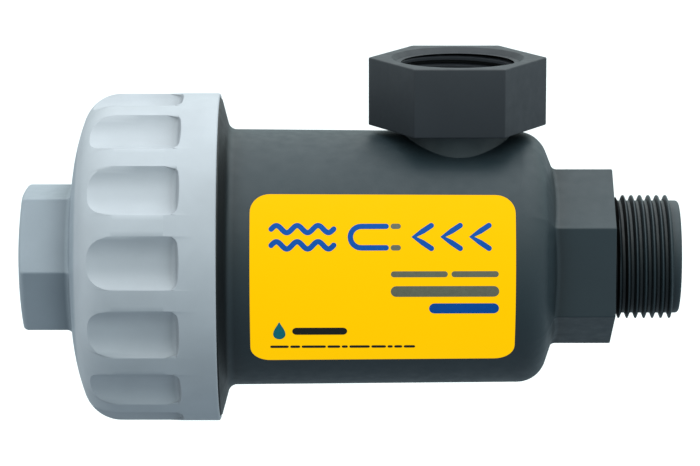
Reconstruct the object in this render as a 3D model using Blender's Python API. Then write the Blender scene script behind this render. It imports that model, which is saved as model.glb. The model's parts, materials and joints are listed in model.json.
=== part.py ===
"""In-line magnetic filter for a domestic boiler, with 3/4 inch ports, in metres.

Water comes in through the male port at +X, passes a magnet bar inside a strainer cartridge,
goes out through the mesh, and leaves by the neck and its swivel union nut at +Z.
The origin is the centre of the union gasket's upper face: the union axis is world Z, and the
body axis is parallel to world X, AXIS_DROP below it. The label faces -Y.

Pieces are modelled about their own local Z axis, and placed by two empties: "union_axis" keeps
local Z upright, and "body_axis" turns local Z onto world X, so that a local height there is a
world X coordinate, local -X is up and local -Y is the front.
"""

import math

import bmesh
import bpy

# ---- Driving dimensions ----------------------------------------------------------------------
GAP = 0.0003  # clearance between pieces that touch each other
FLOAT_MERGE = 1e-7  # vertices nearer than this are one vertex
CUT_OVERRUN = 0.002  # how far a cutter runs past the face that it opens
ROOT_DEPTH = 0.004  # how far a joined shape is rooted in the piece that it joins
EDGE = 0.0005  # chamfer on small moulded and turned edges

AXIS_DROP = 0.0367  # union gasket face down to the body axis

# G 3/4 pipe thread (ISO 228)
G34_MAJOR_R = 0.0132205
G34_DEPTH = 0.0011616
G34_PITCH = 0.001814
G34_FORM = {"crest": 1 / 6, "flank": 1 / 3}
G34_LEAD_IN = G34_PITCH * 0.5

# Housing, heights along the body axis
BARREL_LEFT = -0.0466
BARREL_LEFT_R = 0.0274
BARREL_RIGHT = 0.0108
BARREL_RIGHT_R = 0.0269
SHOULDER_ROUND = 0.0062
SHOULDER_CENTRE = 0.0131
SHOULDER_SWEEP_DEG = 63.0
SHOULDER_END = 0.0203
SHOULDER_LAND = (0.0006, 0.0002)  # its rim beyond the hexagon's corners, and that rim's fall
PORT_HEX_FLATS = 0.0332  # across flats, a 33 mm spanner size
PORT_HEX_RIGHT = 0.0332
HEX_EDGE = 0.0003
MALE_END = 0.0475
MALE_END_CHAMFER = 0.0008
MALE_PILOT_LEN = 0.0015
MALE_FIRST_CREST = 0.038422
MALE_BORE_R = 0.0090
BODY_BORE_R = 0.0240
BODY_BORE_END = 0.0166
BODY_BORE_CONE = (0.0045, 0.0040)  # radius lost and length of the cone that ends it
SOCKET_R = 0.0118
SOCKET_END = 0.0270

# Stop flange between barrel and cap
FLANGE_R = 0.0339
FLANGE_FACE = -0.0516
FLANGE_EDGE = -0.0503
FLANGE_ROOT_R = 0.0285
FLANGE_ROOT = -0.0486
FLANGE_BLEND = (0.0003, 0.0008)

# Spigot that the cap screws onto
CAP_PITCH = 0.0040
CAP_THREAD_MINOR_R = 0.0294
CAP_THREAD_DEPTH = 0.0016
CAP_FIRST_CREST = -0.0600
CAP_LEAD_IN = CAP_PITCH * 0.35
SPIGOT_THREAD_FORM = {"crest": 0.30, "flank": 0.12}
CAP_THREAD_FORM = {"crest": 0.42, "flank": 0.12}
SPIGOT_THREAD = (-0.0612, -0.0528)
SPIGOT_LAND_R = 0.0289
SPIGOT_END = -0.0670
O_GROOVE = (-0.0654, -0.0626)
O_GROOVE_R = 0.0266

# Neck and union nut, heights along the union axis
NECK_R = 0.0114
NECK_BORE_R = 0.00875
NECK_TOP = -0.0023
NECK_FLARE = 0.0005
GASKET_R = (0.0089, 0.0118)
GASKET_THICK = 0.0020
NUT_FLATS = 0.0329
NUT_BOTTOM = -0.00797
NUT_HEIGHT = 0.0146
NUT_LIP = 0.0022
NUT_LIP_R = 0.0117
NUT_RELIEF_R = 0.0134
NUT_MOUTH_R = 0.0142
NUT_FIRST_CREST = 0.001285
NUT_THREAD_START = -0.0004
NUT_RELIEF_CONE = (0.0002, 0.0012)  # its ends, below the thread's start
CLIP_WIRE_R = 0.0008
CLIP_RING_R = 0.01155
CLIP_GAP_DEG = 34.0
CLIP_GROOVE_R = 0.0104

# Cap
CAP_RIM = -0.0506
CAP_RIM_R = 0.0351
CAP_BAND_END = -0.0597
CAP_RIDGE_R = 0.0350
CAP_SHOULDER_ROUND = 0.0080
CAP_SHOULDER = -0.0718
CAP_DOME_ROUND = 0.0480
CAP_DOME_FLAT_R = 0.0132  # the dome is flat inside this radius, under the boss
CAP_RECESS_R = 0.0342
CAP_THREAD_START_R = 0.0317
CAP_THREAD_START_LEN = 0.0007
CAP_THREAD_END = -0.0620
CAP_SEAL_R = 0.02935
CAP_SEAL_BORE = (-0.0686, -0.0624)
CAP_FLOOR = -0.0806
CAP_INSIDE = (  # inside of the dome (r, z), from the hub out
    (0.0120, CAP_FLOOR),
    (0.0200, -0.0796),
    (0.0254, -0.0774),
    (0.0282, -0.0734),
    (0.0284, -0.0690),
)
SCALLOPS = 14
SCALLOP_FIRST_DEG = 9.67
SCALLOP_HALF_DEG = 9.05
SCALLOP_DEPTH = 0.00205
SCALLOP_FULLNESS = 2.4  # 2 would make its section one arc; more makes its sides steeper
SCALLOP_REACH = 0.0015  # how much further it cuts into the band at its middle than at its sides
SCALLOP_END_ROUND = 0.0030
BOSS_FLATS = 0.0286
BOSS_END = -0.0938
BOSS_ROOT = -0.0813
BOSS_CROWN_ROUND = 0.1000
BOSS_EDGE = 0.0010
HUB_R = 0.0100
HUB_FACE = -0.0700
HUB_ROOT = -0.0820
HUB_GROOVE = (-0.0752, -0.0732)
HUB_GROOVE_R = 0.0090
INSERT_R = 0.0069
INSERT_LEN = 0.0134
STUD_R = 0.0040

# Magnet bar
BAR_TUBE_R = 0.0065
BAR_TUBE_WALL = 0.0007
BAR_TUBE = (-0.0682, 0.0017)
BAR_TIP = 0.0047
BAR_TIP_ROUND = 0.0022
MAGNETS = 6
MAGNET_R = 0.0054
MAGNET_LEN = 0.0072
POLE_LEN = 0.0018
STACK_START = -0.0632

# Strainer cartridge
MESH_R = 0.0180
MESH_WALL = 0.0006
MESH_ENDS = (-0.0722, 0.0097)
SLEEVE_R = (0.0183, 0.0198)
SLEEVE_LEN = 0.0050
FOOT_SLEEVE_END = -0.0640
FOOT_CLEARANCE = 0.0004
GUIDE_R = 0.0234
GUIDE_THICK = 0.0015
COLLAR_PLATE = 0.0020
COLLAR_SPIGOT_R = 0.0114
COLLAR_BORE_R = 0.0078
COLLAR_END = 0.0265
COLLAR_GROOVE = (0.0198, 0.0222)
COLLAR_GROOVE_R = 0.0094

# Label
LABEL_ENDS = (-0.0438, 0.0116)
LABEL_HALF_DEG = 40.3
LABEL_CORNER = 0.0042
LABEL_THICK = 0.00025

BIG_STEPS = 36
MEDIUM_STEPS = 28
SMALL_STEPS = 20
FULL_TURN = 2.0 * math.pi
FRONT_DEG = 270.0  # local angle of the front about the body axis


# ---- Scene helpers ---------------------------------------------------------------------------
def clear_scene():
    for old in list(bpy.data.objects):
        bpy.data.objects.remove(old, do_unlink=True)


def make_material(name, colour, roughness, metallic=0.0):
    material = bpy.data.materials.new(name)
    material.use_nodes = True
    shader = material.node_tree.nodes["Principled BSDF"]
    shader.inputs["Base Color"].default_value = (*colour, 1.0)
    shader.inputs["Roughness"].default_value = roughness
    shader.inputs["Metallic"].default_value = metallic
    return material


def make_axis(name, location, rotation, parent=None):
    axis = bpy.data.objects.new(name, None)
    axis.location = location
    axis.rotation_euler = rotation
    axis.empty_display_size = 0.02
    axis.parent = parent
    bpy.context.scene.collection.objects.link(axis)
    return axis


def make_object(name, bm, parent, material=None):
    """Turns a bmesh into an object on an axis empty, closed, facing out and shaded smooth."""
    bmesh.ops.remove_doubles(bm, verts=bm.verts, dist=FLOAT_MERGE)
    bmesh.ops.recalc_face_normals(bm, faces=bm.faces)
    mesh = bpy.data.meshes.new(name)
    bm.to_mesh(mesh)
    bm.free()
    mesh.shade_smooth()
    mesh.set_sharp_from_angle(angle=math.radians(32.0))
    piece = bpy.data.objects.new(name, mesh)
    piece.parent = parent
    if material:
        mesh.materials.append(material)
    bpy.context.scene.collection.objects.link(piece)
    return piece


def combine(piece, tool, operation):
    """Adds or cuts with a tool object that isn't part of the filter itself."""
    tool.hide_render = True
    tool.display_type = "WIRE"
    boolean = piece.modifiers.new(tool.name, "BOOLEAN")
    boolean.operation = operation
    boolean.object = tool
    boolean.solver = "EXACT"


# ---- Shape helpers ---------------------------------------------------------------------------
def arc(centre, radius, start_deg, end_deg, parts):
    """Points (r, z) on an arc; 0 degrees points away from the axis and 90 along +Z."""
    points = []
    for part in range(parts + 1):
        angle = math.radians(start_deg + (end_deg - start_deg) * part / parts)
        points.append((centre[0] + radius * math.cos(angle), centre[1] + radius * math.sin(angle)))
    return points


def even_columns(steps):
    return [FULL_TURN * step / steps for step in range(steps + 1)]


def surface_from_columns(columns, points_at):
    """A skin with one line of (r, z) points at each angle round local Z."""
    bm = bmesh.new()
    lines = []
    for angle in columns:
        cos, sin = math.cos(angle), math.sin(angle)
        lines.append([bm.verts.new((r * cos, r * sin, z)) for r, z in points_at(angle)])
    for line, following in zip(lines, lines[1:]):
        for step in range(len(line) - 1):
            bm.faces.new((line[step], following[step], following[step + 1], line[step + 1]))
    return bm


def turned(outline, steps=BIG_STEPS):
    """A solid of revolution; its outline (r, z) starts and ends on the axis, or is a closed loop."""
    return surface_from_columns(even_columns(steps), lambda angle: outline)


def thread_points(angle, ends, first_crest, pitch, root_r, depth, form, lead_in):
    """Points (r, z) down one side of a right-handed thread, at one angle round the axis."""
    half_crest = form["crest"] / 2.0
    corners = (
        (-half_crest - form["flank"], 0.0),
        (-half_crest, 1.0),
        (half_crest, 1.0),
        (half_crest + form["flank"], 0.0),
    )
    first_turn = math.floor((ends[0] - first_crest) / pitch) - 2
    last_turn = math.ceil((ends[1] - first_crest) / pitch) + 1
    points = []
    for turn in range(first_turn, last_turn + 1):
        for phase, height in corners:
            z = first_crest + pitch * (turn + phase + angle / FULL_TURN)
            z = min(max(z, ends[0]), ends[1])
            fade = min(1.0, (z - ends[0]) / lead_in, (ends[1] - z) / lead_in)
            points.append((root_r + depth * height * max(fade, 0.0), z))
    return points


def threaded(before, after, steps=BIG_STEPS, **thread):
    """A turned solid with a thread between the two parts of its outline."""

    def points_at(angle):
        return [*before, *thread_points(angle, **thread), *after]

    return surface_from_columns(even_columns(steps), points_at)


def ring(centre_r, centre_z, section_r, steps, sides, sweep=FULL_TURN, start=0.0):
    """A round-section ring, open if its sweep is less than a full turn."""
    columns = [start + sweep * step / steps for step in range(steps + 1)]
    outline = arc((centre_r, centre_z), section_r, 0.0, -360.0, sides)
    bm = surface_from_columns(columns, lambda angle: outline)
    if sweep < FULL_TURN:
        bmesh.ops.remove_doubles(bm, verts=bm.verts, dist=FLOAT_MERGE)
        bmesh.ops.holes_fill(bm, edges=bm.edges, sides=sides)
    return bm


def tube(inner_r, outer_r, low, high):
    return [(inner_r, low), (inner_r, high), (outer_r, high), (outer_r, low), (inner_r, low)]


def rod(radius, low, high, chamfer=0.0):
    return [
        (0.0, low),
        (radius - chamfer, low),
        (radius, low + chamfer),
        (radius, high - chamfer),
        (radius - chamfer, high),
        (0.0, high),
    ]


def corner_radius(across_flats):
    return across_flats / 2.0 / math.cos(math.radians(30.0))


def hexagon(across_flats, low, high, edge):
    """A hexagonal prism with its corners and end edges eased, and its first corner at angle 0."""
    bm = bmesh.new()
    sharp_r = corner_radius(across_flats)
    corners = []
    for corner in range(6):
        angle = math.radians(60.0 * corner)
        corners.append(bm.verts.new((sharp_r * math.cos(angle), sharp_r * math.sin(angle), low)))
    base = bm.faces.new(corners)
    moved = bmesh.ops.extrude_face_region(bm, geom=[base])["geom"]
    lifted = [item for item in moved if isinstance(item, bmesh.types.BMVert)]
    bmesh.ops.translate(bm, verts=lifted, vec=(0.0, 0.0, high - low))
    bmesh.ops.bevel(
        bm,
        geom=list(bm.edges),
        offset=edge,
        segments=1,
        affect="EDGES",
        profile=0.5,
    )
    return bm


def barrel_radius(z):
    """The drafted barrel's radius at a height on the body axis."""
    share = (z - BARREL_LEFT) / (BARREL_RIGHT - BARREL_LEFT)
    return BARREL_LEFT_R + (BARREL_RIGHT_R - BARREL_LEFT_R) * share


# ---- Materials -------------------------------------------------------------------------------
def make_materials():
    return {
        "body_plastic": make_material("body_plastic", (0.040, 0.047, 0.054), 0.42),
        "nut_plastic": make_material("nut_plastic", (0.034, 0.040, 0.048), 0.45),
        "cap_plastic": make_material("cap_plastic", (0.42, 0.49, 0.53), 0.38),
        "label_vinyl": make_material("label_vinyl", (0.95, 0.60, 0.01), 0.45),
        "rubber": make_material("rubber", (0.02, 0.02, 0.02), 0.75),
        "stainless": make_material("stainless", (0.62, 0.61, 0.59), 0.25, 1.0),
        "brass": make_material("brass", (0.72, 0.52, 0.22), 0.30, 1.0),
        "magnet": make_material("magnet", (0.55, 0.55, 0.56), 0.22, 1.0),
        "pole_steel": make_material("pole_steel", (0.40, 0.40, 0.41), 0.35, 1.0),
        "strainer_plastic": make_material("strainer_plastic", (0.78, 0.78, 0.76), 0.50),
    }


# ---- Housing ---------------------------------------------------------------------------------
def make_housing(axis, union_axis, materials):
    """One moulding: spigot, stop flange, barrel, shoulder, male port and neck."""
    spigot_and_thread = [
        (0.0, SPIGOT_END),
        (SPIGOT_LAND_R - EDGE, SPIGOT_END),
        (SPIGOT_LAND_R, SPIGOT_END + EDGE),
        (SPIGOT_LAND_R, O_GROOVE[0]),
        (O_GROOVE_R, O_GROOVE[0]),
        (O_GROOVE_R, O_GROOVE[1]),
        (SPIGOT_LAND_R, O_GROOVE[1]),
        (CAP_THREAD_MINOR_R, SPIGOT_THREAD[0] - EDGE),
    ]
    shoulder_centre = (BARREL_RIGHT_R - SHOULDER_ROUND, SHOULDER_CENTRE)
    barrel_and_shoulder = [
        (CAP_THREAD_MINOR_R, FLANGE_FACE),
        (FLANGE_R, FLANGE_FACE),
        (FLANGE_R, FLANGE_EDGE),
        (FLANGE_ROOT_R, FLANGE_ROOT),
        (BARREL_LEFT_R + FLANGE_BLEND[0], FLANGE_ROOT + FLANGE_BLEND[1]),
        (BARREL_LEFT_R, BARREL_LEFT),
        (BARREL_RIGHT_R, BARREL_RIGHT),
        *arc(shoulder_centre, SHOULDER_ROUND, 0.0, SHOULDER_SWEEP_DEG, 4),
        (corner_radius(PORT_HEX_FLATS) + SHOULDER_LAND[0], SHOULDER_END - SHOULDER_LAND[1]),
        (PORT_HEX_FLATS / 2, SHOULDER_END),
        (0.0, SHOULDER_END),
    ]
    spigot = threaded(
        spigot_and_thread,
        barrel_and_shoulder,
        ends=SPIGOT_THREAD,
        first_crest=CAP_FIRST_CREST,
        pitch=CAP_PITCH,
        root_r=CAP_THREAD_MINOR_R,
        depth=CAP_THREAD_DEPTH,
        form=SPIGOT_THREAD_FORM,
        lead_in=CAP_LEAD_IN,
    )
    housing = make_object("housing", spigot, axis, materials["body_plastic"])

    port_hex = hexagon(PORT_HEX_FLATS, SHOULDER_END - ROOT_DEPTH, PORT_HEX_RIGHT, HEX_EDGE)
    combine(housing, make_object("tool_port_hex", port_hex, axis), "UNION")

    core_r = G34_MAJOR_R - G34_DEPTH
    male_port = threaded(
        [(0.0, PORT_HEX_RIGHT - ROOT_DEPTH), (core_r, PORT_HEX_RIGHT - ROOT_DEPTH)],
        [
            (core_r, MALE_END - MALE_END_CHAMFER),
            (core_r - MALE_END_CHAMFER, MALE_END),
            (0.0, MALE_END),
        ],
        steps=MEDIUM_STEPS,
        ends=(PORT_HEX_RIGHT - EDGE, MALE_END - MALE_PILOT_LEN),
        first_crest=MALE_FIRST_CREST,
        pitch=G34_PITCH,
        root_r=core_r,
        depth=G34_DEPTH,
        form=G34_FORM,
        lead_in=G34_LEAD_IN,
    )
    combine(housing, make_object("tool_male_port", male_port, axis), "UNION")

    neck_root = -AXIS_DROP + BODY_BORE_R - ROOT_DEPTH
    groove_low = NUT_BOTTOM + NUT_LIP - GAP / 10
    groove_high = groove_low + 2 * (CLIP_WIRE_R + GAP)
    neck = turned(
        [
            (0.0, neck_root),
            (NECK_R + NECK_FLARE, neck_root),
            (NECK_R + NECK_FLARE, -AXIS_DROP + BARREL_RIGHT_R + GAP),
            (NECK_R, NUT_BOTTOM - NECK_FLARE),
            (NECK_R, groove_low),
            (CLIP_GROOVE_R, groove_low),
            (CLIP_GROOVE_R, groove_high),
            (NECK_R, groove_high),
            (NECK_R, NECK_TOP),
            (0.0, NECK_TOP),
        ],
        MEDIUM_STEPS,
    )
    combine(housing, make_object("tool_neck", neck, union_axis), "UNION")

    inside = turned(
        [
            (0.0, SPIGOT_END - CUT_OVERRUN),
            (BODY_BORE_R, SPIGOT_END - CUT_OVERRUN),
            (BODY_BORE_R, BODY_BORE_END - BODY_BORE_CONE[1]),
            (BODY_BORE_R - BODY_BORE_CONE[0], BODY_BORE_END),
            (SOCKET_R, BODY_BORE_END),
            (SOCKET_R, SOCKET_END),
            (MALE_BORE_R, SOCKET_END),
            (MALE_BORE_R, MALE_END + CUT_OVERRUN),
            (0.0, MALE_END + CUT_OVERRUN),
        ]
    )
    combine(housing, make_object("tool_inside", inside, axis), "DIFFERENCE")

    neck_bore = turned(rod(NECK_BORE_R, neck_root - CUT_OVERRUN, NECK_TOP + CUT_OVERRUN), SMALL_STEPS)
    combine(housing, make_object("tool_neck_bore", neck_bore, union_axis), "DIFFERENCE")


def make_label(axis, materials):
    """A rounded rectangle of vinyl wrapped on the front of the barrel."""
    length = LABEL_ENDS[1] - LABEL_ENDS[0]
    corner_parts, middle_parts, round_parts = 3, 5, 12
    offsets = [LABEL_CORNER * (1 - math.cos(math.pi / 2 * i / corner_parts)) for i in range(corner_parts)]
    middle = [
        LABEL_CORNER + (length - 2 * LABEL_CORNER) * i / middle_parts for i in range(middle_parts + 1)
    ]
    stations = offsets + middle + [length - offset for offset in reversed(offsets)]
    bm = bmesh.new()
    rows = []
    for station in stations:
        into_corner = max(LABEL_CORNER - min(station, length - station), 0.0)
        pulled_in = LABEL_CORNER - math.sqrt(LABEL_CORNER**2 - into_corner**2)
        z = LABEL_ENDS[0] + station
        inner_r = barrel_radius(z) + GAP
        half_angle = math.radians(LABEL_HALF_DEG) - pulled_in / inner_r
        row = []
        for radius in (inner_r, inner_r + LABEL_THICK):
            for part in range(round_parts + 1):
                angle = math.radians(FRONT_DEG) + half_angle * (2 * part / round_parts - 1)
                row.append(bm.verts.new((radius * math.cos(angle), radius * math.sin(angle), z)))
        rows.append(row)
    side = round_parts + 1
    loop = [*range(side), *range(2 * side - 1, side - 1, -1)]
    for row, following in zip(rows, rows[1:]):
        for here, there in zip(loop, loop[1:] + loop[:1]):
            bm.faces.new((row[here], row[there], following[there], following[here]))
    for row in (rows[0], rows[-1]):
        for part in range(round_parts):
            bm.faces.new((row[part], row[part + 1], row[part + 1 + side], row[part + side]))
    make_object("label", bm, axis, materials["label_vinyl"])


# ---- Union -----------------------------------------------------------------------------------
def make_union(axis, materials):
    """Gasket and retaining clip on the neck, which stay still while the nut turns."""
    gasket = turned(tube(GASKET_R[0], GASKET_R[1], -GASKET_THICK, 0.0), MEDIUM_STEPS)
    make_object("union_gasket", gasket, axis, materials["rubber"])

    clip_z = NUT_BOTTOM + NUT_LIP + GAP + CLIP_WIRE_R
    clip_gap = math.radians(CLIP_GAP_DEG)
    clip = ring(CLIP_RING_R, clip_z, CLIP_WIRE_R, SMALL_STEPS, 6, FULL_TURN - clip_gap, clip_gap / 2)
    make_object("union_nut_clip", clip, axis, materials["stainless"])


def make_union_nut(axis, materials):
    top = NUT_BOTTOM + NUT_HEIGHT
    nut = make_object(
        "union_nut",
        hexagon(NUT_FLATS, NUT_BOTTOM, top, HEX_EDGE),
        axis,
        materials["nut_plastic"],
    )
    minor_r = G34_MAJOR_R - G34_DEPTH
    lip_top = NUT_BOTTOM + NUT_LIP
    inside = threaded(
        [
            (0.0, NUT_BOTTOM - CUT_OVERRUN),
            (NUT_LIP_R, NUT_BOTTOM - CUT_OVERRUN),
            (NUT_LIP_R, lip_top),
            (NUT_RELIEF_R, lip_top),
            (NUT_RELIEF_R, NUT_THREAD_START - NUT_RELIEF_CONE[1]),
            (minor_r, NUT_THREAD_START - NUT_RELIEF_CONE[0]),
        ],
        [(minor_r, top + CUT_OVERRUN), (0.0, top + CUT_OVERRUN)],
        steps=MEDIUM_STEPS,
        ends=(NUT_THREAD_START, top + CUT_OVERRUN),
        first_crest=NUT_FIRST_CREST,
        pitch=G34_PITCH,
        root_r=minor_r,
        depth=G34_DEPTH,
        form=G34_FORM,
        lead_in=G34_LEAD_IN,
    )
    combine(nut, make_object("tool_nut_inside", inside, axis), "DIFFERENCE")

    mouth_depth = NUT_MOUTH_R - G34_MAJOR_R
    mouth = turned(
        [
            (0.0, top - mouth_depth),
            (G34_MAJOR_R, top - mouth_depth),
            (NUT_MOUTH_R, top),
            (NUT_MOUTH_R, top + 2 * CUT_OVERRUN),
            (0.0, top + 2 * CUT_OVERRUN),
        ],
        MEDIUM_STEPS,
    )
    combine(nut, make_object("tool_nut_mouth", mouth, axis), "DIFFERENCE")


# ---- Cap -------------------------------------------------------------------------------------
def cap_outline(band_end):
    """The cap's turned outline (r, z), from the dome's centre past the band's end to the rim."""
    shoulder_r = CAP_RIDGE_R - CAP_SHOULDER_ROUND
    to_dome = CAP_DOME_ROUND - CAP_SHOULDER_ROUND
    outwards = shoulder_r - CAP_DOME_FLAT_R
    dome_centre = (CAP_DOME_FLAT_R, CAP_SHOULDER + math.sqrt(to_dome**2 - outwards**2))
    join_deg = math.degrees(math.asin(outwards / to_dome))
    dome = [(0.0, dome_centre[1] - CAP_DOME_ROUND)]
    dome += arc(dome_centre, CAP_DOME_ROUND, -90.0, -90.0 + join_deg, 3)
    shoulder = arc((shoulder_r, CAP_SHOULDER), CAP_SHOULDER_ROUND, -90.0 + join_deg, 0.0, 4)
    return [
        *dome,
        *shoulder[1:],
        (CAP_RIDGE_R, band_end - SCALLOP_END_ROUND),
        (CAP_RIDGE_R, band_end - SCALLOP_END_ROUND / 2),
        (CAP_RIDGE_R, band_end - SCALLOP_END_ROUND / 10),
        (CAP_RIM_R, band_end),
        (CAP_RIM_R, CAP_RIM - EDGE),
        (CAP_RIM_R - EDGE, CAP_RIM),
        (0.0, CAP_RIM),
    ]


def scallop_columns():
    """Angles round the cap: five across each scallop and one on each ridge."""
    pitch = 360.0 / SCALLOPS
    offsets = (-1.0, -0.5, 0.0, 0.5, 1.0)
    first = FRONT_DEG - SCALLOP_FIRST_DEG
    degrees = []
    for scallop in range(SCALLOPS):
        centre = first + pitch * scallop
        degrees += [centre + SCALLOP_HALF_DEG * offset for offset in offsets]
        degrees.append(centre + pitch / 2)
    degrees.append(degrees[0] + 360.0)
    return [math.radians(value) for value in degrees]


def scalloped(angle):
    """The cap's outline at one angle, hollowed where a scallop passes."""
    pitch = 360.0 / SCALLOPS
    turned_by = math.degrees(angle) - FRONT_DEG + SCALLOP_FIRST_DEG
    from_centre = (turned_by + pitch / 2) % pitch - pitch / 2
    across = max(1.0 - abs(from_centre / SCALLOP_HALF_DEG) ** SCALLOP_FULLNESS, 0.0)
    band_end = CAP_BAND_END + SCALLOP_REACH * across
    points = []
    for r, z in cap_outline(band_end):
        if z < band_end:
            into = (band_end - z) / SCALLOP_END_ROUND
            run_in = math.sqrt(max(1.0 - (1.0 - min(into, 1.0)) ** 2, 0.0))
            r = min(r, CAP_RIDGE_R - SCALLOP_DEPTH * across * run_in)
        points.append((r, z))
    return points


def boss_points(angle):
    """The boss's outline at one angle: a slightly domed end with an eased edge, on a hexagon."""
    sixth = math.radians(60.0)
    off_flat = (angle + sixth / 2) % sixth - sixth / 2
    flat_r = min(BOSS_FLATS / 2 / math.cos(off_flat), corner_radius(BOSS_FLATS) - HEX_EDGE)
    edge_r = flat_r - BOSS_EDGE
    crown = [(r, BOSS_END + r**2 / (2 * BOSS_CROWN_ROUND)) for r in (0.0, 0.4 * edge_r, edge_r)]
    return [
        *crown,
        (flat_r, crown[-1][1] + BOSS_EDGE),
        (flat_r, BOSS_ROOT),
        (0.0, BOSS_ROOT),
    ]


def boss_columns():
    """Angles round the boss: the flats lie at 0, 60 and so on, the corners between them."""
    offsets = (-15.0, 0.0, 15.0, 28.0, 30.0, 32.0)
    degrees = [60.0 * flat + offset for flat in range(6) for offset in offsets]
    degrees.append(degrees[0] + 360.0)
    return [math.radians(value) for value in degrees]


def make_cap(axis, materials):
    body = surface_from_columns(scallop_columns(), scalloped)
    cap = make_object("cap", body, axis, materials["cap_plastic"])

    boss = surface_from_columns(boss_columns(), boss_points)
    combine(cap, make_object("tool_boss", boss, axis), "UNION")

    ridge_r = CAP_THREAD_MINOR_R + 0.0004
    thread_start = FLANGE_FACE - GAP - CAP_THREAD_START_LEN
    inside = threaded(
        [
            (0.0, CAP_FLOOR),
            *CAP_INSIDE,
            (CAP_SEAL_R, CAP_SEAL_BORE[0]),
            (CAP_SEAL_R, CAP_SEAL_BORE[1]),
            (ridge_r, CAP_THREAD_END),
        ],
        [(ridge_r, CAP_RIM + CUT_OVERRUN), (0.0, CAP_RIM + CUT_OVERRUN)],
        ends=(CAP_THREAD_END, CAP_RIM + CUT_OVERRUN),
        first_crest=CAP_FIRST_CREST,
        pitch=CAP_PITCH,
        root_r=ridge_r,
        depth=CAP_THREAD_DEPTH,
        form=CAP_THREAD_FORM,
        lead_in=CAP_LEAD_IN,
    )
    combine(cap, make_object("tool_cap_inside", inside, axis), "DIFFERENCE")

    recess = turned(
        [
            (0.0, thread_start),
            (CAP_THREAD_START_R, thread_start),
            (CAP_THREAD_START_R, FLANGE_FACE - GAP),
            (CAP_RECESS_R, FLANGE_FACE - GAP),
            (CAP_RECESS_R, CAP_RIM + 2 * CUT_OVERRUN),
            (0.0, CAP_RIM + 2 * CUT_OVERRUN),
        ]
    )
    combine(cap, make_object("tool_cap_recess", recess, axis), "DIFFERENCE")

    hub = turned(
        [
            (0.0, HUB_ROOT),
            (HUB_R, HUB_ROOT),
            (HUB_R, HUB_GROOVE[0]),
            (HUB_GROOVE_R, HUB_GROOVE[0]),
            (HUB_GROOVE_R, HUB_GROOVE[1]),
            (HUB_R, HUB_GROOVE[1]),
            (HUB_R, HUB_FACE - EDGE),
            (HUB_R - EDGE, HUB_FACE),
            (0.0, HUB_FACE),
        ],
        SMALL_STEPS,
    )
    combine(cap, make_object("tool_hub", hub, axis), "UNION")

    pocket_end = HUB_FACE - GAP - INSERT_LEN - GAP
    pocket = turned(rod(INSERT_R + GAP, pocket_end, HUB_FACE + CUT_OVERRUN), SMALL_STEPS)
    combine(cap, make_object("tool_insert_pocket", pocket, axis), "DIFFERENCE")

    insert_high = HUB_FACE - GAP
    insert = turned(tube(STUD_R + GAP, INSERT_R, insert_high - INSERT_LEN, insert_high), SMALL_STEPS)
    make_object("cap_insert", insert, axis, materials["brass"])


def make_cap_o_ring(axis, materials):
    """The seal between spigot and cap; it stays in the spigot's groove."""
    centre_z = (O_GROOVE[0] + O_GROOVE[1]) / 2
    section_r = (CAP_SEAL_R - O_GROOVE_R - 2 * GAP) / 2
    centre_r = (CAP_SEAL_R + O_GROOVE_R) / 2
    seal = ring(centre_r, centre_z, section_r, MEDIUM_STEPS, 6)
    make_object("cap_o_ring", seal, axis, materials["rubber"])


# ---- Magnet bar ------------------------------------------------------------------------------
def make_magnet_bar(axis, materials):
    bore_r = BAR_TUBE_R - BAR_TUBE_WALL
    shell = turned(tube(bore_r, BAR_TUBE_R, *BAR_TUBE), SMALL_STEPS)
    make_object("magnet_tube", shell, axis, materials["stainless"])

    flange = (HUB_FACE + GAP, BAR_TUBE[0] - GAP)
    stud_end = flange[0] - INSERT_LEN + CUT_OVERRUN / 2
    plug = turned(
        [
            (0.0, stud_end),
            (STUD_R - EDGE, stud_end),
            (STUD_R, stud_end + EDGE),
            (STUD_R, flange[0]),
            (INSERT_R, flange[0]),
            (INSERT_R, flange[1]),
            (bore_r - GAP, flange[1]),
            (bore_r - GAP, STACK_START - GAP),
            (0.0, STACK_START - GAP),
        ],
        SMALL_STEPS,
    )
    make_object("magnet_stud_plug", plug, axis, materials["brass"])

    stack_end = STACK_START + MAGNETS * (MAGNET_LEN + POLE_LEN + 2 * GAP) + POLE_LEN
    tip_face = BAR_TUBE[1] + GAP
    tip_round_centre = (BAR_TUBE_R - BAR_TIP_ROUND, BAR_TIP - BAR_TIP_ROUND)
    tip = turned(
        [
            (0.0, stack_end + GAP),
            (bore_r - GAP, stack_end + GAP),
            (bore_r - GAP, tip_face),
            (BAR_TUBE_R, tip_face),
            *arc(tip_round_centre, BAR_TIP_ROUND, 0.0, 90.0, 3),
            (0.0, BAR_TIP),
        ],
        SMALL_STEPS,
    )
    make_object("magnet_tip_plug", tip, axis, materials["stainless"])

    low = STACK_START
    for number in range(1, MAGNETS + 2):
        pole = turned(rod(MAGNET_R, low, low + POLE_LEN), SMALL_STEPS)
        make_object(f"pole_piece_{number}", pole, axis, materials["pole_steel"])
        low += POLE_LEN + GAP
        if number <= MAGNETS:
            magnet = turned(rod(MAGNET_R, low, low + MAGNET_LEN), SMALL_STEPS)
            make_object(f"magnet_{number}", magnet, axis, materials["magnet"])
            low += MAGNET_LEN + GAP


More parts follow.
